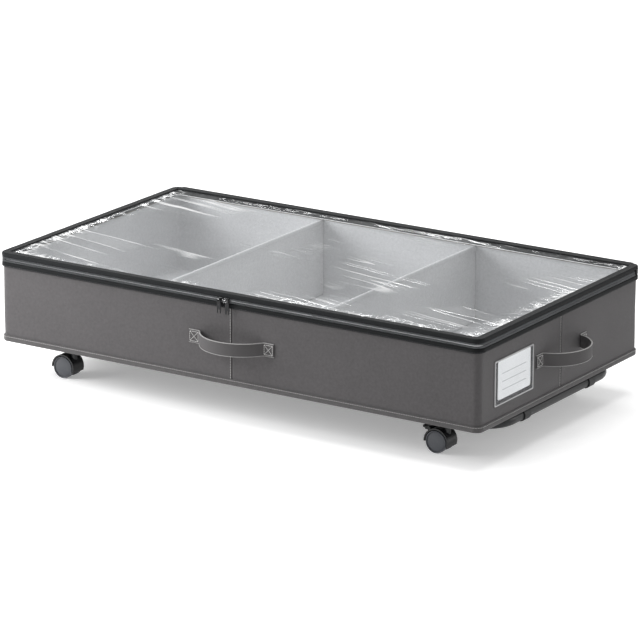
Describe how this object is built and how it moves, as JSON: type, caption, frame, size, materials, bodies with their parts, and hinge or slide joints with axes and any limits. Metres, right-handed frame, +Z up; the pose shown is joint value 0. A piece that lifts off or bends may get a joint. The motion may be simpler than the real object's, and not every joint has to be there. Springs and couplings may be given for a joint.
{
  "type": "rolling under bed storage box",
  "caption": "Low fabric storage box with a zipped clear lid, inner dividers, strap handles, a label pocket and a tube frame on swivel casters.",
  "frame": {"origin": "on the floor, under the middle of the box", "axes": "+X along the length towards the end with the label pocket, +Y towards the back where the lid folds, +Z up"},
  "size_m": [0.986, 0.566, 0.212],
  "materials": {
    "cover_fabric": "matte",
    "base_fabric": "matte",
    "hem_fabric": "matte",
    "lining_fabric": "matte",
    "board": "matte",
    "divider_fabric": "matte",
    "black_tape": "matte",
    "zip_tape": "matte",
    "zip_teeth": "satin",
    "window": "gloss",
    "slider_metal": "satin",
    "pull_metal": "satin",
    "strap": "matte",
    "pocket": "gloss",
    "card": "matte",
    "tube": "satin",
    "fitting": "matte",
    "steel": "satin",
    "hood": "satin",
    "axle": "satin",
    "wheel": "satin",
    "brake": "satin"
  },
  "bodies": {
    "box": {"outer_cover": "cover_fabric", "base_cover": "base_fabric", "hem_binding": "hem_fabric", "inner_lining": "lining_fabric", "front_boards": "board", "back_boards": "board", "left_boards": "board", "right_boards": "board", "floor_boards": "board", "divider_left": "divider_fabric", "divider_right": "divider_fabric", "rim_tape": "black_tape", "back_hinge_tape": "black_tape", "lower_zip_tape": "zip_tape", "lower_zip_teeth": "zip_teeth", "front_handle": "strap", "back_handle": "strap", "left_handle": "strap", "right_handle": "strap", "label_pocket": "pocket", "label_card": "card", "frame_left_end": "tube", "frame_right_end": "tube", "frame_front_tube": "tube", "frame_back_tube": "tube", "frame_couplers": "fitting", "frame_clips": "fitting", "clip_rivets": "steel", "caster_sockets": "fitting", "socket_screws": "steel", "caster_stems": "steel"},
    "lid": {"upper_zip_tape": "zip_tape", "upper_zip_teeth": "zip_teeth", "lid_tape": "black_tape", "lid_window": "window"},
    "slider_left": {"slider_left": "slider_metal"},
    "pull_left": {"pull_left": "pull_metal"},
    "slider_right": {"slider_right": "slider_metal"},
    "pull_right": {"pull_right": "pull_metal"},
    "front_left_caster": {"front_left_hood": "hood", "front_left_axle": "axle"},
    "front_left_front_wheel": {"front_left_front_wheel": "wheel"},
    "front_left_back_wheel": {"front_left_back_wheel": "wheel"},
    "front_right_caster": {"front_right_hood": "hood", "front_right_axle": "axle"},
    "front_right_front_wheel": {"front_right_front_wheel": "wheel"},
    "front_right_back_wheel": {"front_right_back_wheel": "wheel"},
    "front_right_brake": {"front_right_brake": "brake"},
    "back_left_caster": {"back_left_hood": "hood", "back_left_axle": "axle"},
    "back_left_front_wheel": {"back_left_front_wheel": "wheel"},
    "back_left_back_wheel": {"back_left_back_wheel": "wheel"},
    "back_right_caster": {"back_right_hood": "hood", "back_right_axle": "axle"},
    "back_right_front_wheel": {"back_right_front_wheel": "wheel"},
    "back_right_back_wheel": {"back_right_back_wheel": "wheel"},
    "back_right_brake": {"back_right_brake": "brake"}
  },
  "joints": [
    {"name": "lid_fold", "type": "hinge", "parent": "box", "child": "lid", "pos_m": [0, 0.2503, 0.2123], "axis": [-1, 0, 0], "range_deg": [0, 180]},
    {"name": "slider_left_run", "type": "slide", "parent": "box", "child": "slider_left", "axis": [-1, 0, 0], "range_m": [0, 0.405]},
    {"name": "pull_left_swing", "type": "hinge", "parent": "slider_left", "child": "pull_left", "pos_m": [-0.0193, -0.254, 0.203], "axis": [-1, 0, 0], "range_deg": [0, 150]},
    {"name": "slider_right_run", "type": "slide", "parent": "box", "child": "slider_right", "axis": [1, 0, 0], "range_m": [0, 0.428]},
    {"name": "pull_right_swing", "type": "hinge", "parent": "slider_right", "child": "pull_right", "pos_m": [-0.0037, -0.254, 0.203], "axis": [-1, 0, 0], "range_deg": [0, 150]},
    {"name": "front_left_swivel", "type": "hinge", "parent": "box", "child": "front_left_caster", "pos_m": [-0.353, -0.182, 0.04], "axis": [0, 0, 1], "continuous": true},
    {"name": "front_left_front_wheel_spin", "type": "hinge", "parent": "front_left_caster", "child": "front_left_front_wheel", "pos_m": [-0.365, -0.182, 0.018], "axis": [0, 1, 0], "continuous": true},
    {"name": "front_left_back_wheel_spin", "type": "hinge", "parent": "front_left_caster", "child": "front_left_back_wheel", "pos_m": [-0.365, -0.182, 0.018], "axis": [0, 1, 0], "continuous": true},
    {"name": "front_right_swivel", "type": "hinge", "parent": "box", "child": "front_right_caster", "pos_m": [0.353, -0.182, 0.04], "axis": [0, 0, 1], "continuous": true},
    {"name": "front_right_front_wheel_spin", "type": "hinge", "parent": "front_right_caster", "child": "front_right_front_wheel", "pos_m": [0.341, -0.182, 0.018], "axis": [0, 1, 0], "continuous": true},
    {"name": "front_right_back_wheel_spin", "type": "hinge", "parent": "front_right_caster", "child": "front_right_back_wheel", "pos_m": [0.341, -0.182, 0.018], "axis": [0, 1, 0], "continuous": true},
    {"name": "front_right_brake_press", "type": "hinge", "parent": "front_right_caster", "child": "front_right_brake", "pos_m": [0.32752, -0.182, 0.03725], "axis": [0, -1, 0], "range_deg": [0, 20]},
    {"name": "back_left_swivel", "type": "hinge", "parent": "box", "child": "back_left_caster", "pos_m": [-0.353, 0.182, 0.04], "axis": [0, 0, 1], "continuous": true},
    {"name": "back_left_front_wheel_spin", "type": "hinge", "parent": "back_left_caster", "child": "back_left_front_wheel", "pos_m": [-0.365, 0.182, 0.018], "axis": [0, 1, 0], "continuous": true},
    {"name": "back_left_back_wheel_spin", "type": "hinge", "parent": "back_left_caster", "child": "back_left_back_wheel", "pos_m": [-0.365, 0.182, 0.018], "axis": [0, 1, 0], "continuous": true},
    {"name": "back_right_swivel", "type": "hinge", "parent": "box", "child": "back_right_caster", "pos_m": [0.353, 0.182, 0.04], "axis": [0, 0, 1], "continuous": true},
    {"name": "back_right_front_wheel_spin", "type": "hinge", "parent": "back_right_caster", "child": "back_right_front_wheel", "pos_m": [0.341, 0.182, 0.018], "axis": [0, 1, 0], "continuous": true},
    {"name": "back_right_back_wheel_spin", "type": "hinge", "parent": "back_right_caster", "child": "back_right_back_wheel", "pos_m": [0.341, 0.182, 0.018], "axis": [0, 1, 0], "continuous": true},
    {"name": "back_right_brake_press", "type": "hinge", "parent": "back_right_caster", "child": "back_right_brake", "pos_m": [0.32752, 0.182, 0.03725], "axis": [0, -1, 0], "range_deg": [0, 20]}
  ]
}
